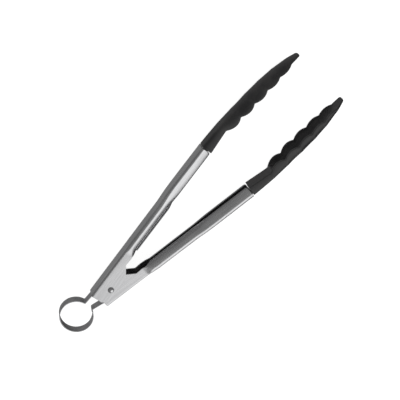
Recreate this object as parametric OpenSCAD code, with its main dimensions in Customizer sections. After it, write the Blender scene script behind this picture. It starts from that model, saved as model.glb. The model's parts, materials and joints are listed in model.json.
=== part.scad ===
// Spring-loaded kitchen tongs: two stamped channel arms on one rivet, held
// open by a flat-strip spring whose round end is the hanging loop, with a
// moulded nylon head on each arm.
//
// Frame: +X from the loop to the tips, +Y towards the outer arm, +Z up along
// the rivet. The tongs lie on their side. The origin is at the middle of the
// bounding box, on the surface that the heads rest on.

/* [Arms] */
// Angle of each arm from the middle line when the tongs stand open
open_half = 8; // [7:0.5:9]
// Distance from the rivet to the end of the steel channel
arm_len = 141; // [115:1:170]
// Length of the outer arm behind the rivet
tail_len = 13.4; // [11:0.2:15]
// Length of the inner arm behind the rivet
inner_tail_len = 11.8; // [10:0.2:14]
// Width of the channel over its two flanges
arm_w = 14; // [11:0.5:17]
// Height of the web's outer face above the rivet, across the arm
web_h = 10.7; // [8.8:0.1:12.4]
// Thickness of the steel sheet
sheet_t = 0.9; // [0.6:0.1:1.1]
// Distance from the rivet to the end of the rolled lips
lip_end = 95; // [80:1:105]
// Outer radius of the bend between web and flange
bend_r = 1.8; // [1.3:0.1:2.4]
// Depth of the channel at its outer end
neck_d = 7.9; // [7:0.1:9]
// Depth of the channel in the middle of the grip
grip_d = 7.7; // [6:0.1:8.8]
// Radius of the rolled lips along the grip
lip_r = 2.5; // [2:0.1:2.8]

/* [Rivet] */
// Diameter of the rivet's shank
rivet_d = 3.2; // [2.5:0.1:4]
// Diameter of the rivet's two heads
rivet_head_d = 5.2; // [4.6:0.1:7]
// Height of the rivet's domed head
rivet_head_h = 1.4; // [0.8:0.1:2]
// Radial clearance between the rivet and the arm that turns on it
pivot_gap = 0.05; // [0.02:0.01:0.1]
// Side play between the nested cheeks and under the rivet's heads
side_gap = 0.1; // [0.05:0.05:0.3]
// Wall of the spacer tube on the rivet
spacer_wall = 0.8; // [0.5:0.1:1.2]

/* [Ring spring] */
// Diameter of the loop, in the middle of the strip
ring_d = 27.4; // [22:0.2:34]
// Distance from the rivet to the middle of the loop
ring_back = 37.4; // [34:0.1:44]
// Lean of the loop from the middle line, towards the outer arm's side
ring_lean = 6.2; // [4:0.1:8]
// Thickness of the strip
strip_t = 0.8; // [0.5:0.1:1.2]
// Gap between each edge of the strip and the inner arm's cheeks
strip_gap = 0.6; // [0.1:0.1:1.6]
// Gap between the two legs where they leave the loop
ring_mouth = 8.2; // [6:0.1:10]
// How far each leg reaches past the rivet
leg_reach = 26; // [16:1:34]

/* [Heads] */
// Length of each head
head_len = 104; // [85:1:130]
// Width of a head at its widest
head_w = 20.8; // [16:0.2:26]
// Wall thickness of the hollow head
head_wall = 1.8; // [1.4:0.1:2.4]
// Number of lobes along each gripping edge
lobes = 5; // [3:1:7]
// Depth of the first lobe
lobe_depth = 3.2; // [1:0.1:4]
// Depth of the last lobe
lobe_depth_end = 1.6; // [0.6:0.1:2.4]
// Length of the steel tongue inside the head's neck
tongue_len = 20; // [12:1:22]
// Width of the steel tongue
tongue_w = 9; // [6:0.5:10]

/* [Hidden] */
$fn = 48;
eps = 0.02;

// Half widths of the two channels. The inner arm's cheeks nest in the outer
// arm's cheeks, and a joggle brings its channel out to the same width.
half_w = arm_w / 2;
inner_half_w = half_w - sheet_t - side_gap;
cheek_front = 31;
joggle_len = 6;
profile_d = 24;

// The free edge of the flanges: cheek, notch, rolled lip, then the plain neck.
cheek_drop = 5.6;
notch_y = 2.2;
lip_x0 = cheek_front + 4;
lip_y = web_h - grip_d;
lip_top = lip_y + lip_r;
function side_outline(tail) = [
    [-tail, web_h + 4, 0],
    [arm_len, web_h + 4, 0],
    [arm_len, web_h - neck_d, 2],
    [lip_end + 4, lip_y, 4],
    [lip_end - 2, lip_top, 2],
    [lip_x0 + 2, lip_top, 2],
    [cheek_front, notch_y, 4],
    [cheek_front - 6, notch_y + 0.4, 2],
    [cheek_front - 14, -cheek_drop + 2.6, 3],
    [cheek_front - 18, -cheek_drop, 3],
    [4 - tail, -cheek_drop + 1.2, 4],
    [-tail - 0.5, 0, 6]
];

// Where the pieces stand across the hinge, along Z.
outer_face = half_w + side_gap / 2;
spacer_half = inner_half_w - sheet_t;
strip_w = 2 * (spacer_half - strip_gap);

// The head's three outlines, each a function of the share s of its length.
neck_share = 0.212;
head_x0 = arm_len + 0.8;
head_x1 = head_x0 + head_len;
neck_half_w = half_w + 0.5;
rim_x0 = head_x0 + neck_share * head_len;
rim_x1 = head_x0 + 0.908 * head_len;
rim_y0 = web_h - 6.9;
rim_y1 = rim_y0 - 9.7;
back_y0 = web_h + 0.6;
tip_y = web_h - 17.5;
stations = 72;
ribs = 14;

function unit(v) = v / norm(v);
function mix(a, b, t) = a + (b - a) * t;
function ease(t) = let(u = min(1, max(0, t))) u * u * (3 - 2 * u);

// A polygon's points with each corner rounded to the radius it carries.
function rounded(pts) = [
    for (i = [0:len(pts) - 1])
        let(n = len(pts),
            p = [pts[i].x, pts[i].y],
            a = pts[(i + n - 1) % n],
            b = pts[(i + 1) % n],
            u = unit([a.x, a.y] - p),
            v = unit([b.x, b.y] - p))
        each corner(p, u, v, pts[i].z)
];
function corner(p, u, v, r) = r == 0 ? [p] :
    let(half = acos(u * v) / 2,
        c = p + unit(u + v) * r / sin(half),
        from = p + u * r / tan(half) - c,
        to = p + v * r / tan(half) - c,
        a0 = atan2(from.y, from.x),
        turn = atan2(to.y, to.x) - a0,
        sweep = turn > 180 ? turn - 360 : turn < -180 ? turn + 360 : turn,
        steps = 6)
    [for (k = [0:steps]) let(a = a0 + sweep * k / steps) c + r * [cos(a), sin(a)]];

// The head's back falls in a long curve to the tip.
function back_y(s) = mix(back_y0, tip_y, 0.24 * s + 0.38 * s * s + 0.38 * pow(s, 5));
// Half the head's width: a straight neck, a full middle and a narrow tip.
function wide(s) = let(
        grow = ease((s - neck_share * 0.7) / 0.36),
        close = max(0, (s - 0.62) / 0.38))
    mix(neck_half_w, head_w / 2, grow) * sqrt(max(0.09, 1 - 0.86 * pow(close, 2.4)));
// The lobes get shorter and shallower towards the tip.
lobe_first = 1.1;
lobe_last = 2 - lobe_first;
function lobe_start(k) =
    (lobe_first * k + (lobe_last - lobe_first) * k * k / (2 * lobes)) / lobes;
function lobe_at(u) =
    let(hits = [for (k = [0:lobes - 1]) if (u >= lobe_start(k) && u <= lobe_start(k + 1)) k])
    len(hits) == 0 ? -1 : hits[0];
function lobe(u) = let(k = lobe_at(u)) k < 0 ? 0 :
    let(v = (u - lobe_start(k)) / (lobe_start(k + 1) - lobe_start(k)),
        d = mix(lobe_depth, lobe_depth_end, lobes == 1 ? 0 : k / (lobes - 1)))
    d * pow(sin(180 * v), 0.75);
// The gripping edge: straight along the neck, then lobes, then the thin tip.
function rim_y(s) = let(x = head_x0 + s * head_len, u = (x - rim_x0) / (rim_x1 - rim_x0))
    u <= 0 ? mix(web_h - neck_d - 0.4, rim_y0, (x - head_x0) / (rim_x0 - head_x0)) :
    u <= 1 ? mix(rim_y0, rim_y1, u) - lobe(u) :
    mix(rim_y1, tip_y - 1.2, (x - rim_x1) / (head_x1 - rim_x1));
// The section's roundness: 2 is an ellipse, higher is squarer.
function square_to(s) = mix(5.5, 2.3, ease((s - neck_share * 0.6) / 0.3));

function section(x, back, rim, w, n) = [
    for (k = [0:ribs])
        let(a = 180 * k / ribs, c = cos(a), d = sin(a))
        [x, rim + (back - rim) * pow(abs(d), 2 / n), w * sign(c) * pow(abs(c), 2 / n)]
];
function share(i) = i / stations;
function outer_section(i) = let(s = share(i))
    section(head_x0 + s * head_len, back_y(s), rim_y(s), wide(s), square_to(s));
// The hollow starts past the neck and stays one wall inside the outer skin.
hollow_x0 = rim_x0 + 1;
hollow_x1 = head_x1 - 5;
function hollow_section(i) = let(
        x = mix(hollow_x0, hollow_x1, share(i)),
        s = (x - head_x0) / head_len,
        taper = sqrt(max(0.04, ease(share(i) * 7) * ease((1 - share(i)) * 5))),
        back = mix(rim_y(s) - 2, back_y(s) - head_wall, taper),
        w = mix(1, wide(s) - head_wall, taper))
    section(x, back, rim_y(s) - 6, w, square_to(s));

// One closed skin over a row of sections.
module loft(rows) {
    n = len(rows[0]);
    last = len(rows) - 1;
    points = [for (row = rows) each row];
    sides = [
        for (i = [0:last - 1])
            for (k = [0:n - 1])
                let(a = i * n + k, b = i * n + (k + 1) % n)
                each [[a, b, b + n], [a, b + n, a + n]]
    ];
    start = [for (k = [n - 1:-1:0]) k];
    end = [for (k = [0:n - 1]) last * n + k];
    polyhedron(points, concat(sides, [start, end]), convexity = 6);
}

// The finished model's extent along X, which sets the origin.
tip_points = [for (i = [0:stations]) each outer_section(i)];
x_max = max([for (p = tip_points) p.x * cos(open_half) - p.y * sin(open_half)]);
ring_x = -ring_back * cos(ring_lean);
x_min = ring_x - ring_d / 2 - strip_t / 2;
x_mid = (x_min + x_max) / 2;
z_lift = max([for (p = tip_points) p.z]);

module place() {
    translate([-x_mid, 0, z_lift]) children();
}

// The outer arm lies at +Y, and the inner arm is its mirror image.
module on_outer() {
    place() rotate([0, 0, open_half]) children();
}
module on_inner() {
    place() rotate([0, 0, -open_half]) mirror([0, 1, 0]) children();
}

// Section of a channel, drawn in Y and Z with the web's outer face at Y = 0.
module round_top(w, d, r) {
    translate([-d, -w]) square([d - r, 2 * w]);
    translate([-d, r - w]) square([d, 2 * (w - r)]);
    for (side = [-1, 1])
        translate([-r, side * (w - r)]) circle(r);
}
module channel_section(w) {
    difference() {
        round_top(w, profile_d, bend_r);
        translate([-sheet_t, 0]) round_top(w - sheet_t, profile_d, bend_r - sheet_t);
    }
}

// A straight stretch of channel along the arm.
module stretch(x0, x1, w) {
    translate([x0, web_h, 0]) rotate([90, 0, 90])
        linear_extrude(x1 - x0) channel_section(w);
}

// The joggle where the inner arm's channel widens past its cheeks.
module joggle_skin(x0, x1, w0, w1, drop, r) {
    hull() {
        translate([x0, web_h - drop, 0]) rotate([90, 0, 90])
            linear_extrude(eps) round_top(w0 - drop, profile_d, r, $fn = 32);
        translate([x1 - eps, web_h - drop, 0]) rotate([90, 0, 90])
            linear_extrude(eps) round_top(w1 - drop, profile_d, r, $fn = 32);
    }
}
module joggle(x0, x1, w0, w1) {
    difference() {
        joggle_skin(x0, x1, w0, w1, 0, bend_r);
        joggle_skin(x0 - eps, x1 + eps, w0, w1, sheet_t, bend_r - sheet_t);
    }
}

// The lip that rolls inwards along the grip, a quarter of a tube on each side.
module lips() {
    for (side = [-1, 1])
        translate([lip_x0, lip_top, side * (half_w - lip_r)]) rotate([90, 0, 90])
            linear_extrude(lip_end - lip_x0) intersection() {
                difference() {
                    circle(lip_r);
                    circle(lip_r - sheet_t);
                }
                translate([-2 * lip_r, side > 0 ? 0 : -2 * lip_r]) square(2 * lip_r);
            }
}

// The tongue steps in by one sheet and runs on inside the nylon neck.
tongue_end = [arm_len + tongue_len, back_y(tongue_len / head_len) - 2.2];
module tongue() {
    top = [[arm_len - 5, web_h], [arm_len - 1, web_h], [arm_len + 2, web_h - 1.4], tongue_end];
    under = [for (i = [3:-1:0]) top[i] - [0.1, sheet_t]];
    difference() {
        linear_extrude(tongue_w, center = true) polygon(concat(top, under));
        translate([tongue_end.x - 6, tongue_end.y, 0]) rotate([90, 0, 0])
            cylinder(h = 8, d = 4, center = true);
    }
}

module side_cut(tail) {
    linear_extrude(2 * arm_w, center = true) polygon(rounded(side_outline(tail)));
}
module rivet_hole(r) {
    cylinder(h = 2 * arm_w, r = r, center = true);
}

module arm_steel(cheek_w, tail, hole_r) {
    difference() {
        union() {
            intersection() {
                union() {
                    if (cheek_w < half_w) {
                        stretch(-tail, cheek_front, cheek_w);
                        joggle(cheek_front, cheek_front + joggle_len, cheek_w, half_w);
                        stretch(cheek_front + joggle_len, arm_len, half_w);
                    } else {
                        stretch(-tail, arm_len, half_w);
                    }
                }
                side_cut(tail);
            }
            lips();
            tongue();
        }
        rivet_hole(hole_r);
    }
}

module inner_arm() {
    color([0.76, 0.77, 0.78]) on_inner() arm_steel(inner_half_w, inner_tail_len, rivet_d / 2);
}
module outer_arm() {
    color([0.70, 0.71, 0.73]) on_outer() arm_steel(half_w, tail_len, rivet_d / 2 + pivot_gap);
}

// A rivet head is the cap of a sphere on the flat of the cheek.
module rivet_cap(h) {
    r = rivet_head_d / 2;
    ball = (r * r + h * h) / (2 * h);
    intersection() {
        translate([0, 0, outer_face + h - ball]) sphere(ball);
        translate([0, 0, outer_face]) cylinder(h = h + 1, r = r + 1);
    }
}
module pivot_rivet() {
    color([0.82, 0.82, 0.83]) place() {
        cylinder(h = 2 * outer_face + eps, d = rivet_d, center = true);
        rivet_cap(rivet_head_h);
        mirror([0, 0, 1]) rivet_cap(rivet_head_h * 0.7);
    }
}

// The tube keeps the inner arm's cheeks apart when the rivet is set.
module spacer_tube() {
    bore_r = rivet_d / 2 + pivot_gap;
    color([0.62, 0.63, 0.65]) place() difference() {
        cylinder(h = 2 * spacer_half, r = bore_r + spacer_wall, center = true);
        cylinder(h = 2 * spacer_half + 1, r = bore_r, center = true);
    }
}

// One strip: a loop, a neck and two legs that lie along the arms' webs. The
// strip's edges rest in the rounded corners inside the inner channel, which
// sets how far the legs stand off the webs.
ring_r = ring_d / 2;
mouth_a = asin(ring_mouth / ring_d);
neck_x = -ring_back + ring_r * cos(mouth_a);
bead_d = strip_t * 1.25;
corner_r = bend_r - sheet_t;
web_gap = 0.08;
function leg_y(inside) = let(bite = max(0, strip_w / 2 - inside + corner_r))
    web_h - sheet_t - corner_r + sqrt(pow(corner_r, 2) - pow(bite, 2)) - web_gap - strip_t / 2;
outer_leg_y = leg_y(half_w - sheet_t);
inner_leg_y = leg_y(spacer_half);

// The strip's outline along a path, with mitred corners.
function across(u) = [-u.y, u.x];
function strip_side(path, off) = [
    for (i = [0:len(path) - 1])
        let(i0 = max(i, 1),
            i1 = min(i + 1, len(path) - 1),
            before = unit(path[i0] - path[i0 - 1]),
            after = unit(path[i1] - path[i1 - 1]),
            out = unit(across(before + after)))
        path[i] + out * off / (out * across(before))
];
module strip(path) {
    left = strip_side(path, strip_t / 2);
    right = strip_side(path, -strip_t / 2);
    linear_extrude(strip_w, center = true)
        polygon(concat(left, [for (i = [len(path) - 1:-1:0]) right[i]]));
}
// One leg, with the small bead that is left where it bends out of the loop.
module leg(path) {
    strip(path);
    translate([path[0].x, path[0].y, 0])
        cylinder(h = strip_w, d = bead_d, center = true);
}
// A point x along an arm that is turned by a, and y out towards its web.
function along_web(x, y, a) = [x * cos(a) - y * sin(a), x * sin(a) + y * cos(a)];

// The loop, open towards the arms between its two necks.
module loop() {
    mouth_x = neck_x + ring_back;
    difference() {
        cylinder(h = strip_w, r = ring_r + strip_t / 2, center = true);
        cylinder(h = strip_w + 1, r = ring_r - strip_t / 2, center = true);
        linear_extrude(strip_w + 1, center = true)
            polygon([[0, 0], [2 * mouth_x, -ring_mouth], [2 * mouth_x, ring_mouth]]);
    }
}

module ring_spring() {
    a = open_half + ring_lean;
    b = open_half - ring_lean;
    color([0.6, 0.61, 0.63]) place() rotate([0, 0, -ring_lean]) {
        translate([-ring_back, 0, 0]) loop();
        leg([[neck_x, ring_mouth / 2],
            along_web(-tail_len, outer_leg_y, a), along_web(leg_reach, outer_leg_y, a)]);
        mirror([0, 1, 0])
            leg([[neck_x, ring_mouth / 2], [-tail_len - 1, ring_mouth / 2 + 1.5],
                along_web(4, inner_leg_y, b), along_web(leg_reach, inner_leg_y, b)]);
    }
}

module head() {
    difference() {
        loft([for (i = [0:stations]) outer_section(i)]);
        loft([for (i = [0:stations]) hollow_section(i)]);
        tongue();
    }
}
module inner_head() {
    color([0.07, 0.07, 0.08]) on_inner() head();
}
module outer_head() {
    color([0.07, 0.07, 0.08]) on_outer() head();
}

inner_arm();
outer_arm();
pivot_rivet();
spacer_tube();
ring_spring();
inner_head();
outer_head();
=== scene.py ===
"""Spring-loaded kitchen tongs: the looks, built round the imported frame.

Sizes are in millimetres and repeat the design's named values. Each arm is built in its own frame,
with x along the arm from the rivet, y out to the web and z across, and one matrix turns it into place.
"""
import json
import math
from bisect import bisect_right

import bmesh
import bpy
from mathutils import Matrix, Vector


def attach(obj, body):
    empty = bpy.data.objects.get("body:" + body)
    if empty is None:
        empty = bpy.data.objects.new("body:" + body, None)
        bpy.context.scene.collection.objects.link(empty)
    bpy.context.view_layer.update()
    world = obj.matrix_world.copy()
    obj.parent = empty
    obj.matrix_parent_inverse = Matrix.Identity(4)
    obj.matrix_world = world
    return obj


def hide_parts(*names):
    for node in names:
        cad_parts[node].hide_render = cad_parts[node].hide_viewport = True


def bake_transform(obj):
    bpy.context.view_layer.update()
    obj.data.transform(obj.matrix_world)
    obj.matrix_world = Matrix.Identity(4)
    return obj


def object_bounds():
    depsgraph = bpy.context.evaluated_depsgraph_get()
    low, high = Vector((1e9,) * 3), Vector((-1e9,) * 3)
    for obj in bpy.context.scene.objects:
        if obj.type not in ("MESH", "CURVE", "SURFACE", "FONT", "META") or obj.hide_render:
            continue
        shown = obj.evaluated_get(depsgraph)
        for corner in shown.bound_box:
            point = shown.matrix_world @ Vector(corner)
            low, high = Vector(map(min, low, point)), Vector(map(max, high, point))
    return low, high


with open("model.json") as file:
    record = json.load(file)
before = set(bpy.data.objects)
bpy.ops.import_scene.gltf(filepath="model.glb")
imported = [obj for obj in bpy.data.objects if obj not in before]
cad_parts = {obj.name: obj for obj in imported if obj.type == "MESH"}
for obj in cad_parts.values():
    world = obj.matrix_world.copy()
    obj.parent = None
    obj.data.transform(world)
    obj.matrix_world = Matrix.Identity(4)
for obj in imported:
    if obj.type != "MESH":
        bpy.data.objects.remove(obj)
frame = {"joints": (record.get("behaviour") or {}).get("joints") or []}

cad_low, cad_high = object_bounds()

# ---------------------------------------------------------------- sizes, in millimetres

MM = 0.001
OPEN_HALF = 8.0
ARM_LEN = 141.0
TAIL_LEN = {1: 13.4, -1: 11.8}
ARM_W = 14.0
WEB_H = 10.7
SHEET_T = 0.9
SIDE_GAP = 0.1
NECK_D = 7.9
GRIP_D = 7.7
CHEEK_FRONT = 31.0
CHEEK_DROP = 5.6
NOTCH_Y = 2.2
JOGGLE_LEN = 6.0

# The finer section of the arms, for the outer arm (1) and the inner one (-1). Pairs are for the
# neck and the grip, and the section goes from one to the other over LIP_FADE. The edge's shift is
# how much further than the plain flange it reaches. At the grip the flange leans evenly over the
# flat share of its depth, up to the lean in degrees, and then curls to the last angle.
LIP_START = 35.0
LIP_FADE = (82.0, 103.0)
WEB_SWELL = {1: 0.4, -1: 1.25}
EDGE_SHIFT = {1: (0.8, 1.75), -1: (1.1, 1.0)}
BEND_R = {1: (2.2, 3.0), -1: (3.3, 3.5)}
GRIP_FLAT = {1: 0.2, -1: 0.42}
GRIP_LEAN = {1: 24.0, -1: 20.0}
GRIP_LAST = {1: 102.0, -1: 71.0}

RIVET_R = 1.6
RIVET_HEAD_R = 2.6
RIVET_HEAD_H = 1.4
PIVOT_GAP = 0.05
SPACER_WALL = 0.8
AXIS_R = 0.01
PIN_REACH = 20.0

RING_R = 13.7
RING_BACK = 37.4
RING_LEAN = 6.2
RING_MOUTH = 8.2
LOOP_OVAL = 1.04
STRIP_T = 0.8
STRIP_W = 9.0
LEG_REACH = 26.0
WEB_GAP = 0.08
LOOP_CORNER = 1.1
LEG_CORNER = 5.0

HEAD_LEN = 104.0
HEAD_HALF_W = 10.4
HEAD_WALL = 1.8
LOBES = 5
LOBE_DEPTH = (3.2, 1.6)
TONGUE_LEN = 20.0
TONGUE_W = 9.0

HALF_W = ARM_W / 2
INNER_HALF_W = HALF_W - SHEET_T - SIDE_GAP
OUTER_FACE = HALF_W + SIDE_GAP / 2
SPACER_HALF = INNER_HALF_W - SHEET_T
HEAD_X0 = ARM_LEN + 0.8
NECK_SHARE = 0.212
RIM_X0 = HEAD_X0 + NECK_SHARE * HEAD_LEN
RIM_X1 = HEAD_X0 + 0.908 * HEAD_LEN
RIM_Y0 = WEB_H - 6.9
RIM_Y1 = RIM_Y0 - 9.7
BACK_Y0 = WEB_H + 0.6
TIP_Y = WEB_H - 17.5
TIP_T = 1.3
TIP_ROUND = 2.2
RIM_BLUR = 0.55

pivot = Vector(frame["joints"][0]["pos_m"])

# The viewing angle: turns in degrees, and where the view's middle lies from the rivet.
VIEW_SWING = 21.81
VIEW_LEAN = 22.51
VIEW_ROLL = 24.74
VIEW_MIDDLE = (74.75, 72.17)
VIEW_DISTANCE = 858.3
SENSOR_W = 36.0
LENS = 92.7

# Noise scale of the finest grain, per metre.
FINE_GRAIN = 2600.0
# The floor's half width in metres, and how far it lies below the tongs in millimetres.
FLOOR_HALF = 3.0
FLOOR_GAP = 0.3


# ---------------------------------------------------------------- small maths

def mix(a, b, t):
    return a + (b - a) * t


def ease(t):
    t = min(1.0, max(0.0, t))
    return t * t * (3 - 2 * t)


def spread(low, high, step):
    """Even values from low up to, but not at, high, about one step apart."""
    count = max(1, round((high - low) / step))
    return [mix(low, high, i / count) for i in range(count)]


def corner(before, here, after, radius, steps=8):
    """The arc that rounds one corner of a path, or the corner itself."""
    if radius == 0:
        return [here]
    u = (before - here).normalized()
    v = (after - here).normalized()
    half = u.angle(v) / 2
    centre = here + (u + v).normalized() * radius / math.sin(half)
    start = here + u * radius / math.tan(half) - centre
    end = here + v * radius / math.tan(half) - centre
    sweep = -start.angle_signed(end)
    turn = math.atan2(start.y, start.x)
    arc = [turn + sweep * i / steps for i in range(steps + 1)]
    return [centre + Vector((math.cos(a), math.sin(a))) * radius for a in arc]


def rounded(points):
    """An open path through (x, y, corner radius), with its corners rounded."""
    spots = [Vector(p[:2]) for p in points]
    path = [spots[0]]
    for i in range(1, len(points) - 1):
        path += corner(spots[i - 1], spots[i], spots[i + 1], points[i][2])
    return path + [spots[-1]]


# ---------------------------------------------------------------- making pieces

def place(side):
    """From an arm's own frame to the row frame. Side 1 is the outer arm and -1 the inner."""
    turn = Matrix.Rotation(side * math.radians(OPEN_HALF), 4, "Z")
    flip = Matrix.Diagonal((1, side, 1, 1))
    return Matrix.Translation(pivot) @ turn @ flip @ Matrix.Scale(MM, 4)


def loft(bm, rows):
    """A skin over closed rows of points, with a flat face on each end."""
    rings = [[bm.verts.new(p) for p in row] for row in rows]
    for a, b in zip(rings, rings[1:]):
        for k in range(len(a)):
            n = (k + 1) % len(a)
            bm.faces.new((a[k], a[n], b[n], b[k]))
    bm.faces.new(rings[0][::-1])
    bm.faces.new(rings[-1])


def sheet(bm, outer, inner):
    """A sheet between two grids of the same size, with a wall round its free edge."""
    top = [[bm.verts.new(p) for p in row] for row in outer]
    low = [[bm.verts.new(p) for p in row] for row in inner]
    last = len(top[0]) - 1
    for i in range(len(top) - 1):
        for k in range(last):
            bm.faces.new((top[i][k], top[i + 1][k], top[i + 1][k + 1], top[i][k + 1]))
            inside = bm.faces.new((low[i][k + 1], low[i + 1][k + 1], low[i + 1][k], low[i][k]))
            # The inner skin takes the second material, a darkened steel that is painted shade inside the
            # channel.
            inside.material_index = 1
        for k in (0, last):
            bm.faces.new((top[i][k], low[i][k], low[i + 1][k], top[i + 1][k]))
    for i in (0, len(top) - 1):
        for k in range(last):
            bm.faces.new((top[i][k], top[i][k + 1], low[i][k + 1], low[i][k]))


def lathe(bm, profile, segments=72):
    """A closed solid turned about Z from (radius, z) points."""
    rings = []
    for i in range(segments):
        a = math.tau * i / segments
        rings.append([bm.verts.new((r * math.cos(a), r * math.sin(a), z)) for r, z in profile])
    count = len(profile)
    for i in range(segments):
        a, b = rings[i], rings[(i + 1) % segments]
        for k in range(count):
            n = (k + 1) % count
            bm.faces.new((a[k], b[k], b[n], a[n]))


def piece(name, bm, matrix, material):
    """A smooth-shaded object from a mesh in millimetres."""
    bmesh.ops.remove_doubles(bm, verts=bm.verts, dist=1e-5)
    bm.transform(matrix)
    bmesh.ops.recalc_face_normals(bm, faces=bm.faces)
    mesh = bpy.data.meshes.new(name)
    bm.to_mesh(mesh)
    bm.free()
    obj = bpy.data.objects.new(name, mesh)
    bpy.context.scene.collection.objects.link(obj)
    mesh.materials.append(material)
    return obj


def finish_mesh(obj, bevel=0.0, cutter=None, segments=2, sharp=35):
    """Cuts with a cutter, rounds the hard edges and sets smooth shading."""
    if cutter is not None:
        cut = obj.modifiers.new("hole", "BOOLEAN")
        cut.operation = "DIFFERENCE"
        cut.solver = "EXACT"
        cut.object = cutter
    if bevel:
        edge = obj.modifiers.new("edges", "BEVEL")
        edge.width = bevel * MM
        edge.segments = segments
        edge.limit_method = "ANGLE"
        edge.angle_limit = math.radians(50)
    graph = bpy.context.evaluated_depsgraph_get()
    made = bpy.data.meshes.new_from_object(obj.evaluated_get(graph))
    obj.modifiers.clear()
    obj.data = made
    made.name = obj.name
    made.shade_smooth()
    made.set_sharp_from_angle(angle=math.radians(sharp))
    if cutter is not None:
        bpy.data.objects.remove(cutter)
    return obj


# ---------------------------------------------------------------- arms

def free_edge(side):
    """How far the flanges reach at each x: cheek, notch, grip and neck."""
    tail = TAIL_LEN[side]
    path = rounded([
        (-tail - 0.5, 4, 0),
        (-tail - 0.5, 0, 6),
        (4 - tail, 1.2 - CHEEK_DROP, 4),
        (CHEEK_FRONT - 18, -CHEEK_DROP, 3),
        (CHEEK_FRONT - 14, 2.6 - CHEEK_DROP, 3),
        (CHEEK_FRONT - 6, NOTCH_Y + 0.4, 2),
        (CHEEK_FRONT, NOTCH_Y, 4),
        (LIP_START + 2, WEB_H - GRIP_D, 4),
        (ARM_LEN, WEB_H - NECK_D, 2),
        (ARM_LEN, WEB_H, 0),
    ])
    xs = [p.x for p in path]

    def reach(x):
        i = min(len(path) - 1, max(1, bisect_right(xs, x)))
        a, b = path[i - 1], path[i]
        width = b.x - a.x
        return a.y if width < 1e-9 else mix(a.y, b.y, (x - a.x) / width)
    return reach


def web_y(side, x):
    """The web's outer face: it swells at the grip, steps up where the grip ends, and eases back."""
    swell = WEB_SWELL[side] * ease((x - CHEEK_FRONT) / 12)
    return WEB_H + swell + 0.5 * ease((x - 80) / 14) * (1 - 0.6 * ease((x - 100) / 41))


def channel_half_w(side, x):
    if side == 1:
        return HALF_W
    return mix(INNER_HALF_W, HALF_W, ease((x - CHEEK_FRONT) / JOGGLE_LEN))


def turn_run(point, length, a, b, steps):
    """A run whose direction turns evenly from a to b; it goes down at 0 and inwards at a right angle."""
    out = []
    y, z = point
    step = length / steps
    for i in range(steps):
        middle = mix(a, b, (i + 0.5) / steps)
        y -= step * math.cos(middle)
        z -= step * math.sin(middle)
        here = mix(a, b, (i + 1) / steps)
        out.append((y, z, -math.sin(here), math.cos(here)))
    return out


def fall(a, b):
    """How much of a turning run's length goes down."""
    return math.cos(a) if abs(b - a) < 1e-6 else (math.sin(b) - math.sin(a)) / (b - a)


WEB_STEPS = 7
BEND_STEPS = 14
FLANGE_STEPS = 10
LIP_STEPS = 14


def half_section(side, x, reach):
    """Half of the channel's outer line, from mid web to free edge, as (y, z, normal y, normal z)."""
    top = web_y(side, x)
    width = channel_half_w(side, x)
    forward = ease((x - CHEEK_FRONT - 1) / 8)
    grip = 1 - ease((x - LIP_FADE[0]) / (LIP_FADE[1] - LIP_FADE[0]))
    bend = mix(1.8, mix(*BEND_R[side], grip), forward)
    start = math.radians(mix(12, 8, grip)) * forward
    lean = math.radians(mix(29, GRIP_LEAN[side], grip)) * forward
    last = math.radians(mix(55, GRIP_LAST[side], grip)) * forward
    share = mix(mix(0.82, GRIP_FLAT[side], grip), 0.9, 1 - forward)
    points = [(top, (width - bend) * i / WEB_STEPS, 1.0, 0.0) for i in range(WEB_STEPS)]
    for i in range(BEND_STEPS + 1):
        a = (math.pi / 2 + start) * i / BEND_STEPS
        points.append((
            top - bend + bend * math.cos(a),
            width - bend + bend * math.sin(a),
            math.cos(a),
            math.sin(a),
        ))
    drop = max(0.6, points[-1][0] - reach(x) + mix(*EDGE_SHIFT[side], grip) * forward)
    points += turn_run(points[-1][:2], drop * share / fall(start, lean), start, lean, FLANGE_STEPS)
    rest = drop * (1 - share) / fall(lean, last)
    points += turn_run(points[-1][:2], rest, lean, last, LIP_STEPS)
    return points


def arm_stations(side):
    tail = -TAIL_LEN[side]
    xs = spread(tail, tail + 5, 0.35) + spread(tail + 5, 12, 1.2)
    xs += spread(12, 44, 0.6) + spread(44, 70, 1.6) + spread(70, 100, 1.0)
    xs += spread(100, ARM_LEN - 3, 1.6) + spread(ARM_LEN - 3, ARM_LEN, 0.2)
    return xs + [ARM_LEN]


def channel_grids(side):
    reach = free_edge(side)
    outer, inner = [], []
    for x in arm_stations(side):
        half = half_section(side, x, reach)
        full = [(y, -z, ny, -nz) for y, z, ny, nz in half[:0:-1]] + half
        outer.append([(x, y, z) for y, z, ny, nz in full])
        inner.append([(x, y - SHEET_T * ny, z - SHEET_T * nz) for y, z, ny, nz in full])
    return outer, inner


def strip_rows(path, width, thick, edge=0.18):
    """Rounded rectangles along a path in the XY plane."""
    w, t = width / 2, thick / 2
    around = []
    for sy, sz, start in ((1, 1, 0), (-1, 1, 90), (-1, -1, 180), (1, -1, 270)):
        for k in range(4):
            a = math.radians(start + 30 * k)
            y = sy * (t - edge) + edge * math.cos(a)
            z = sz * (w - edge) + edge * math.sin(a)
            around.append((y, z))
    rows = []
    for i, p in enumerate(path):
        before = (p - path[i - 1]).normalized() if i else (path[1] - p).normalized()
        after = (path[i + 1] - p).normalized() if i < len(path) - 1 else before
        ahead = (before + after).normalized()
        side = Vector((-ahead.y, ahead.x)) / max(0.5, ahead.dot(before))
        rows.append([(p.x + side.x * y, p.y + side.y * y, z) for y, z in around])
    return rows


def back_y(s):
    """The head's back, which falls in a long curve to the tip."""
    return mix(BACK_Y0, TIP_Y, 0.24 * s + 0.38 * s * s + 0.38 * s ** 5)


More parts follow.
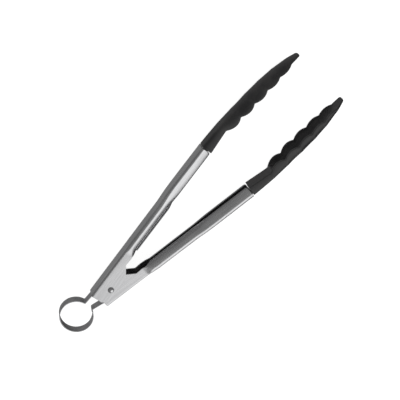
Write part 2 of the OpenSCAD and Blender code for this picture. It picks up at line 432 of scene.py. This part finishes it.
def tongue_path():
    top = WEB_H - SHEET_T / 2
    end = back_y(TONGUE_LEN / HEAD_LEN) - 2.6
    return rounded([
        (ARM_LEN - 6, top - 0.02, 0),
        (ARM_LEN - 1, top - 0.02, 2),
        (ARM_LEN + 2.5, top - 1.4, 3),
        (ARM_LEN + TONGUE_LEN, end, 0),
    ])


def pin(radius):
    """A cutter for the rivet's hole."""
    bm = bmesh.new()
    ends = ((AXIS_R, -PIN_REACH), (radius, -PIN_REACH), (radius, PIN_REACH), (AXIS_R, PIN_REACH))
    lathe(bm, ends, 64)
    bmesh.ops.remove_doubles(bm, verts=bm.verts, dist=2 * AXIS_R)
    bm.transform(Matrix.Translation(pivot) @ Matrix.Scale(MM, 4))
    bmesh.ops.recalc_face_normals(bm, faces=bm.faces)
    mesh = bpy.data.meshes.new("pin_cutter")
    bm.to_mesh(mesh)
    bm.free()
    cutter = bpy.data.objects.new("pin_cutter", mesh)
    bpy.context.scene.collection.objects.link(cutter)
    cutter.hide_render = True
    return cutter


def build_arm(name, side, body, hole_r, material):
    bm = bmesh.new()
    sheet(bm, *channel_grids(side))
    arm = piece(name, bm, place(side), material)
    # The second material darkens the channel's inner faces: painted shade for the hollow, not the
    # sheet's own colour.
    arm.data.materials.append(painted_shade_steel)
    finish_mesh(arm, bevel=0.14, cutter=pin(hole_r))
    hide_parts(name.replace("_shell", ""))
    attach(arm, body)
    bm = bmesh.new()
    loft(bm, strip_rows(tongue_path(), TONGUE_W, SHEET_T - 0.06))
    tongue = piece(name.replace("_shell", "_tongue"), bm, place(side), material)
    finish_mesh(tongue)
    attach(tongue, body)


# ---------------------------------------------------------------- heads

def half_width(s):
    """Half the head's width: a straight neck, a full middle and a narrow tip."""
    grow = ease((s - NECK_SHARE * 0.7) / 0.36)
    close = max(0.0, (s - 0.62) / 0.38)
    full = mix(HALF_W + 0.5, HEAD_HALF_W, grow)
    return full * math.sqrt(1 - 0.78 * close ** 2.4)


def lobe_start(k):
    """Where lobe k starts; the lobes get shorter towards the tip."""
    return (1.1 * k - 0.2 * k * k / (2 * LOBES)) / LOBES


def lobe(u):
    for k in range(LOBES):
        if lobe_start(k) <= u <= lobe_start(k + 1):
            v = (u - lobe_start(k)) / (lobe_start(k + 1) - lobe_start(k))
            return mix(*LOBE_DEPTH, k / (LOBES - 1)) * max(0.0, math.sin(math.pi * v)) ** 0.75
    return 0.0


def rim_line(x):
    u = (x - RIM_X0) / (RIM_X1 - RIM_X0)
    if u <= 0:
        return mix(WEB_H - NECK_D - 0.4, RIM_Y0, (x - HEAD_X0) / (RIM_X0 - HEAD_X0))
    if u <= 1:
        return mix(RIM_Y0, RIM_Y1, u) - lobe(u)
    return mix(RIM_Y1, TIP_Y - TIP_T, (x - RIM_X1) / (HEAD_X0 + HEAD_LEN - RIM_X1))


def rim_y(x):
    """The gripping edge, with the valleys between its lobes softened."""
    offsets = (-1, -0.5, 0, 0.5, 1)
    return sum(rim_line(x + RIM_BLUR * k) for k in offsets) / len(offsets)


def arc_side(n, count, w, low, height):
    """Half a rounded section from +z over the top to -z, as (y, z)."""
    out = []
    for k in range(count + 1):
        a = math.pi * k / count
        c, d = math.cos(a), math.sin(a)
        z = w * math.copysign(abs(c) ** (2 / n), c)
        out.append((low + height * abs(d) ** (2 / n), z))
    return out


HEAD_STEPS = 40
HOLLOW_STEPS = 30
TIP_STEPS = 8
TIP_TURN = 80.0
TIP_DROOP = 0.6
RIM_ROUND = 0.45


def head_row(x):
    """One closed section of the head: its outer skin, its rims and its hollow."""
    s = (x - HEAD_X0) / HEAD_LEN
    rim, back, w = rim_y(x), back_y(s), half_width(s)
    n = mix(5.5, 2.3, ease((s - NECK_SHARE * 0.6) / 0.3))
    share = (x - RIM_X0 - 1) / (HEAD_X0 + HEAD_LEN - 5 - RIM_X0 - 1)
    open_here = math.sqrt(ease(share * 7) * ease((1 - share) * 5))
    soft = RIM_ROUND * min(1.0, w / 4)
    wall = min(HEAD_WALL, w * 0.45)
    inside = w - wall
    outer = arc_side(n, HEAD_STEPS, w, rim + soft, back - rim - soft)
    depth = (back - wall - rim - soft) * open_here
    inner = arc_side(n, HOLLOW_STEPS, inside, rim + soft * open_here, depth)
    turns = [math.radians(a) for a in (22.5, 45, 67.5, 90)]
    lip_out = [(rim + soft - soft * math.sin(a), w - soft + soft * math.cos(a)) for a in turns]
    lip_in = [
        (rim + soft * open_here * (1 - math.sin(a)), inside + soft - soft * math.cos(a))
        for a in turns[::-1]
    ]
    lip = lip_out + lip_in
    ring = outer + [(y, -z) for y, z in lip] + inner[::-1] + lip[::-1]
    return [(x, y, z) for y, z in ring]


def head_rows():
    xs = spread(HEAD_X0, RIM_X0, 1.2)
    xs += spread(RIM_X0, RIM_X1, 0.45)
    end = HEAD_X0 + HEAD_LEN
    xs += spread(RIM_X1, end - TIP_ROUND, 0.6)
    rows = [head_row(x) for x in xs]
    base = head_row(end - TIP_ROUND)
    middle = sum(p[1] for p in base) / len(base)
    slope = (back_y(1.0) - back_y(1.0 - TIP_ROUND / HEAD_LEN)) / TIP_ROUND
    for k in range(TIP_STEPS + 1):
        a = math.radians(TIP_TURN * k / TIP_STEPS)
        forward = TIP_ROUND * math.sin(a)
        size = math.cos(a) ** 0.7
        row = []
        for _, y, z in base:
            row.append((
                end - TIP_ROUND + forward,
                middle + (y - middle) * size + slope * forward * TIP_DROOP,
                z * size,
            ))
        rows.append(row)
    return rows


def build_head(name, side, body, material):
    bm = bmesh.new()
    loft(bm, head_rows())
    head = piece(name, bm, place(side), material)
    finish_mesh(head, bevel=0.3, segments=3, sharp=60)
    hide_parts(name.replace("_shell", ""))
    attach(head, body)


# ---------------------------------------------------------------- rivet and tube

def rivet_profile():
    """From the top of the visible dome round to the bottom of the far head."""
    points = []
    for sign, height in ((1, RIVET_HEAD_H), (-1, RIVET_HEAD_H * 0.7)):
        dome = []
        for k in range(21):
            r = max(0.002, RIVET_HEAD_R * math.sin(math.pi / 2 * k / 20))
            full = 1 - (r / RIVET_HEAD_R) ** 2
            dome.append((r, sign * (OUTER_FACE + 0.14 + height * math.sqrt(max(0.0, full)))))
        dome += [
            (RIVET_HEAD_R + 0.02, sign * (OUTER_FACE + 0.08)),
            (RIVET_HEAD_R - 0.1, sign * (OUTER_FACE + 0.01)),
            (RIVET_R + 0.1, sign * OUTER_FACE),
            (RIVET_R, sign * (OUTER_FACE - 0.1)),
        ]
        points += dome if sign == 1 else dome[::-1]
    return points


def build_turned(name, profile, body, material):
    bm = bmesh.new()
    lathe(bm, profile)
    bmesh.ops.remove_doubles(bm, verts=bm.verts, dist=0.004)
    matrix = Matrix.Translation(pivot) @ Matrix.Scale(MM, 4)
    obj = piece(name, bm, matrix, material)
    finish_mesh(obj, sharp=40)
    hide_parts(name.replace("_turned", ""))
    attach(obj, body)


def tube_profile():
    bore = RIVET_R + PIVOT_GAP
    wall = bore + SPACER_WALL
    edge = 0.12
    top = SPACER_HALF - 0.01
    ring = [(bore, top - edge), (bore + edge, top), (wall - edge, top), (wall, top - edge)]
    return ring + [(r, -z) for r, z in ring[::-1]]


# ---------------------------------------------------------------- ring spring

def leg_points():
    """The two legs' bend points in the loop's leaned frame: outer, then inner."""
    def along_web(x, y, angle):
        a = math.radians(angle)
        return (x * math.cos(a) - y * math.sin(a), x * math.sin(a) + y * math.cos(a))
    a, b = OPEN_HALF + RING_LEAN, OPEN_HALF - RING_LEAN
    y = WEB_H - SHEET_T - WEB_GAP - STRIP_T / 2
    outer = [along_web(-TAIL_LEN[1], y, a), along_web(LEG_REACH, y, a)]
    y -= 0.05
    inner = [
        (-TAIL_LEN[1] - 1, RING_MOUTH / 2 + 1.5),
        along_web(4, y, b),
        along_web(LEG_REACH, y, b),
    ]
    return outer, [(x, -y) for x, y in inner]


def spring_path(sign, legs):
    """From a leg's free end, round the neck, along half of the loop to its far end."""
    mouth = math.asin(RING_MOUTH / (2 * RING_R))
    neck = (-RING_BACK + RING_R * math.cos(mouth), sign * RING_MOUTH / 2, LOOP_CORNER)
    points = [(x, y, LEG_CORNER) for x, y in legs[::-1]] + [neck]
    start = mouth + 2 * LOOP_CORNER / RING_R
    steps = 48
    for k in range(steps + 1):
        a = mix(start, math.pi, k / steps)
        y = sign * RING_R * LOOP_OVAL * math.sin(a)
        points.append((-RING_BACK + RING_R * math.cos(a), y, 0))
    return rounded(points)


def build_spring(name, sign, legs, material):
    bm = bmesh.new()
    loft(bm, strip_rows(spring_path(sign, legs), STRIP_W, STRIP_T, edge=0.16))
    lean = Matrix.Rotation(-math.radians(RING_LEAN), 4, "Z")
    matrix = Matrix.Translation(pivot) @ lean @ Matrix.Scale(MM, 4)
    obj = piece(name, bm, matrix, material)
    finish_mesh(obj, sharp=40)
    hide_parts("ring_spring")
    return obj


# ---------------------------------------------------------------- materials

def nodes_of(name):
    material = bpy.data.materials.new(name)
    material.use_nodes = True
    tree = material.node_tree
    return material, tree, tree.nodes["Principled BSDF"]


def add(tree, kind, **values):
    """A new node, with the given inputs set by name."""
    node = tree.nodes.new(kind)
    for key, value in values.items():
        node.inputs[key].default_value = value
    return node


def noise(tree, angle, stretch, scale, detail=2.0):
    """Noise in the object's own frame, turned to run along an arm and stretched."""
    place_in = add(tree, "ShaderNodeTexCoord")
    turn = add(tree, "ShaderNodeMapping")
    turn.vector_type = "TEXTURE"
    turn.inputs["Rotation"].default_value = (0, 0, math.radians(angle))
    size = add(tree, "ShaderNodeMapping")
    size.inputs["Scale"].default_value = stretch
    grain = add(tree, "ShaderNodeTexNoise", Scale=scale, Detail=detail, Roughness=0.6)
    tree.links.new(place_in.outputs["Object"], turn.inputs["Vector"])
    tree.links.new(turn.outputs["Vector"], size.inputs["Vector"])
    tree.links.new(size.outputs["Vector"], grain.inputs["Vector"])
    return grain.outputs["Fac"]


def span(tree, source, low, high, lowest=0.3, highest=0.7):
    """Maps the middle of a noise onto low to high."""
    node = add(tree, "ShaderNodeMapRange")
    node.inputs["From Min"].default_value = lowest
    node.inputs["From Max"].default_value = highest
    node.inputs["To Min"].default_value = low
    node.inputs["To Max"].default_value = high
    tree.links.new(source, node.inputs["Value"])
    return node.outputs["Result"]


def blend_colour(tree, source, dark, light):
    ramp = add(tree, "ShaderNodeValToRGB")
    ramp.color_ramp.elements[0].position = 0.3
    ramp.color_ramp.elements[0].color = (*dark, 1)
    ramp.color_ramp.elements[1].position = 0.7
    ramp.color_ramp.elements[1].color = (*light, 1)
    tree.links.new(source, ramp.inputs["Fac"])
    return ramp.outputs["Color"]


def relief(tree, shader, sources):
    """Chains bumps, each a (source, strength, height in millimetres)."""
    last = None
    for source, strength, height in sources:
        bump = add(tree, "ShaderNodeBump", Strength=strength, Distance=height * MM)
        tree.links.new(source, bump.inputs["Height"])
        if last is not None:
            tree.links.new(last, bump.inputs["Normal"])
        last = bump.outputs["Normal"]
    tree.links.new(last, shader.inputs["Normal"])


def plus(tree, a, b, share):
    """a plus share of b, for values."""
    node = add(tree, "ShaderNodeMath")
    node.operation = "MULTIPLY_ADD"
    node.inputs[1].default_value = share
    tree.links.new(b, node.inputs[0])
    tree.links.new(a, node.inputs[2])
    return node.outputs["Value"]


def brushed_steel(name, angle, dark, light, rough):
    """Stainless sheet: long fine brush lines, a faint cloud of handling marks."""
    material, tree, shader = nodes_of(name)
    lines = noise(tree, angle, (0.012, 1, 1), 5200.0, 3.0)
    long_lines = noise(tree, angle, (0.02, 1, 1), 1500.0, 2.0)
    cloud = noise(tree, angle, (0.5, 1, 1), 70.0, 3.0)
    tone = plus(tree, lines, long_lines, 0.8)
    tone = plus(tree, tone, cloud, 0.7)
    middle = span(tree, tone, 0.0, 1.0, 0.85, 1.65)
    tree.links.new(blend_colour(tree, middle, dark, light), shader.inputs["Base Color"])
    tree.links.new(span(tree, middle, rough[0], rough[1], 0, 1), shader.inputs["Roughness"])
    shader.inputs["Metallic"].default_value = 1.0
    shader.inputs["Anisotropic"].default_value = 0.35
    relief(tree, shader, [(lines, 0.2, 0.004), (long_lines, 0.08, 0.006), (cloud, 0.08, 0.05)])
    return material


def plain_steel(name, dark, light, rough):
    """Drawn or rolled steel with a fine, even grain."""
    material, tree, shader = nodes_of(name)
    fine = noise(tree, 0, (1, 1, 1), FINE_GRAIN, 2.0)
    cloud = noise(tree, 0, (1, 1, 1), 160.0, 3.0)
    tone = plus(tree, fine, cloud, 1.0)
    middle = span(tree, tone, 0.0, 1.0, 0.7, 1.3)
    tree.links.new(blend_colour(tree, middle, dark, light), shader.inputs["Base Color"])
    tree.links.new(span(tree, middle, rough[0], rough[1], 0, 1), shader.inputs["Roughness"])
    shader.inputs["Metallic"].default_value = 1.0
    relief(tree, shader, [(fine, 0.2, 0.004)])
    return material


def matt_nylon(name):
    """Black nylon: a fine moulded grain, softly uneven gloss and a few pale rubs."""
    material, tree, shader = nodes_of(name)
    grain = noise(tree, 0, (1, 1, 1), FINE_GRAIN, 2.0)
    cloud = noise(tree, 0, (1, 1, 1), 55.0, 4.0)
    tone = plus(tree, cloud, grain, 0.5)
    middle = span(tree, tone, 0.0, 1.0, 0.5, 1.0)
    colour = blend_colour(tree, middle, (0.011, 0.011, 0.012), (0.022, 0.021, 0.021))
    tree.links.new(colour, shader.inputs["Base Color"])
    tree.links.new(span(tree, middle, 0.34, 0.5, 0, 1), shader.inputs["Roughness"])
    shader.inputs["IOR"].default_value = 1.6
    relief(tree, shader, [(grain, 0.3, 0.02), (cloud, 0.25, 0.2)])
    return material


# ---------------------------------------------------------------- the studio

def ray_direction(tree):
    """The direction in which a ray leaves the scene, whole and as its height alone."""
    source = add(tree, "ShaderNodeTexCoord")
    split = add(tree, "ShaderNodeSeparateXYZ")
    tree.links.new(source.outputs["Generated"], split.inputs["Vector"])
    return source.outputs["Generated"], split.outputs["Z"]


def soft_box(tree, ray, toward, start, full):
    """A soft round light in the surroundings, from 0 at start to 1 at full."""
    aim = Vector(toward).normalized()
    dot = add(tree, "ShaderNodeVectorMath")
    dot.operation = "DOT_PRODUCT"
    dot.inputs[1].default_value = aim
    tree.links.new(ray, dot.inputs[0])
    curve = add(tree, "ShaderNodeMapRange")
    curve.interpolation_type = "SMOOTHSTEP"
    curve.inputs["From Min"].default_value = start
    curve.inputs["From Max"].default_value = full
    tree.links.new(dot.outputs["Value"], curve.inputs["Value"])
    return curve.outputs["Result"]


def scaled(tree, source, factor, offset):
    node = add(tree, "ShaderNodeMath")
    node.operation = "MULTIPLY_ADD"
    node.inputs[1].default_value = factor
    node.inputs[2].default_value = offset
    tree.links.new(source, node.inputs[0])
    return node.outputs["Value"]


def summed(tree, a, b):
    node = add(tree, "ShaderNodeMath")
    node.operation = "ADD"
    tree.links.new(a, node.inputs[0])
    tree.links.new(b, node.inputs[1])
    return node.outputs["Value"]


def studio_world():
    """White to the eye and to matt surfaces. Gloss sees a soft box above the inner arm's side and
    grey round it. Below, it sees the dark, a faint far floor and one light past the loop."""
    world = bpy.data.worlds.new("studio")
    world.use_nodes = True
    bpy.context.scene.world = world
    tree = world.node_tree
    tree.nodes.clear()
    ray, height = ray_direction(tree)
    key = soft_box(tree, ray, (-0.14, -0.7, 0.7), 0.8, 0.965)
    overhead = soft_box(tree, ray, (-0.14, -0.15, 0.98), 0.5, 0.98)
    far_floor = soft_box(tree, ray, (-0.2, 0.5, -0.85), 0.1, 0.9)
    near_floor = soft_box(tree, ray, (-0.75, -0.6, -0.3), 0.735, 0.82)
    upper = summed(tree, scaled(tree, key, 0.84, 0.125), scaled(tree, overhead, 0.06, 0.0))
    below = summed(tree, scaled(tree, far_floor, 0.2, 0.01), scaled(tree, near_floor, 0.8, 0.0))
    above = add(tree, "ShaderNodeMapRange")
    above.interpolation_type = "SMOOTHSTEP"
    above.inputs["From Min"].default_value = -0.12
    above.inputs["From Max"].default_value = 0.12
    tree.links.new(height, above.inputs["Value"])
    gloss = add(tree, "ShaderNodeMix")
    tree.links.new(above.outputs["Result"], gloss.inputs[0])
    tree.links.new(below, gloss.inputs[2])
    tree.links.new(upper, gloss.inputs[3])
    path = add(tree, "ShaderNodeLightPath")
    choose = add(tree, "ShaderNodeMix")
    choose.inputs[2].default_value = 1.0
    tree.links.new(path.outputs["Is Glossy Ray"], choose.inputs[0])
    tree.links.new(gloss.outputs[0], choose.inputs[3])
    shade = add(tree, "ShaderNodeBackground")
    tree.links.new(choose.outputs[0], shade.inputs["Strength"])
    out = add(tree, "ShaderNodeOutputWorld")
    tree.links.new(shade.outputs["Background"], out.inputs["Surface"])
    shade.inputs["Color"].default_value = (1, 1, 1, 1)


def build_floor():
    bm = bmesh.new()
    bmesh.ops.create_grid(bm, x_segments=2, y_segments=2, size=FLOOR_HALF)
    mesh = bpy.data.meshes.new("floor")
    bm.to_mesh(mesh)
    bm.free()
    floor = bpy.data.objects.new("floor", mesh)
    floor.location = (0, 0, cad_low.z - FLOOR_GAP * MM)
    bpy.context.scene.collection.objects.link(floor)
    material, _, shader = nodes_of("floor_white")
    shader.inputs["Base Color"].default_value = (0.35, 0.35, 0.35, 1)
    shader.inputs["Roughness"].default_value = 1.0
    shader.inputs["Specular IOR Level"].default_value = 0.0
    shader.inputs["Emission Color"].default_value = (1, 1, 1, 1)
    shader.inputs["Emission Strength"].default_value = 0.84
    mesh.materials.append(material)
    floor.visible_glossy = False


def build_camera():
    """The viewing angle: the tongs lie flat and the camera looks down past the outer arm."""
    aim = Vector(VIEW_MIDDLE) * MM
    facing = Matrix.Rotation(math.radians(VIEW_SWING), 3, "Z")
    tilt = Matrix.Rotation(math.radians(VIEW_LEAN), 3, "X")
    spin = Matrix.Rotation(math.radians(VIEW_ROLL), 3, "Z")
    view = spin @ tilt @ facing
    camera = bpy.data.objects.new("camera", bpy.data.cameras.new("camera"))
    bpy.context.scene.collection.objects.link(camera)
    place_at = pivot + view.transposed() @ Vector((aim.x, aim.y, VIEW_DISTANCE * MM))
    camera.matrix_world = Matrix.Translation(place_at) @ view.transposed().to_4x4()
    camera.data.sensor_width = SENSOR_W
    camera.data.lens = LENS
    camera.data.clip_start = 0.05
    camera.data.clip_end = 20
    bpy.context.scene.camera = camera


# ---------------------------------------------------------------- the tongs

outer_steel = brushed_steel(
    "outer_arm_steel", OPEN_HALF, (0.68, 0.68, 0.69), (0.82, 0.82, 0.83), (0.2, 0.3))
inner_steel = brushed_steel(
    "inner_arm_steel", -OPEN_HALF, (0.68, 0.68, 0.69), (0.82, 0.82, 0.83), (0.2, 0.3))
spring_steel = plain_steel("spring_steel", (0.5, 0.5, 0.51), (0.68, 0.68, 0.69), (0.26, 0.36))
rivet_steel = plain_steel("rivet_steel", (0.72, 0.72, 0.73), (0.86, 0.86, 0.86), (0.06, 0.14))
# Painted shade: the arms' steel made darker for the channels' inner faces, so the hollow reads dark.
painted_shade_steel = plain_steel("inside_steel_painted_shade", (0.16, 0.16, 0.165), (0.26, 0.26, 0.265), (0.4, 0.55))
tube_steel = plain_steel("tube_steel", (0.5, 0.5, 0.5), (0.66, 0.66, 0.66), (0.3, 0.42))
nylon = matt_nylon("nylon_black")

build_arm("outer_arm_shell", 1, "outer_half", RIVET_R + PIVOT_GAP, outer_steel)
build_arm("inner_arm_shell", -1, "inner_half", RIVET_R, inner_steel)
build_head("outer_head_shell", 1, "outer_half", nylon)
build_head("inner_head_shell", -1, "inner_half", nylon)
build_turned("pivot_rivet_turned", rivet_profile(), "inner_half", rivet_steel)
build_turned("spacer_tube_turned", tube_profile(), "inner_half", tube_steel)

outer_leg, inner_leg = leg_points()
lower_half = build_spring("ring_spring_inner", -1, inner_leg, spring_steel)
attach(lower_half, "inner_half")
upper_half = build_spring("ring_spring_outer", 1, outer_leg, spring_steel)
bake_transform(upper_half)

build_floor()
studio_world()
build_camera()
bpy.context.scene.view_settings.view_transform = "Standard"
bpy.context.scene.view_settings.look = "None"
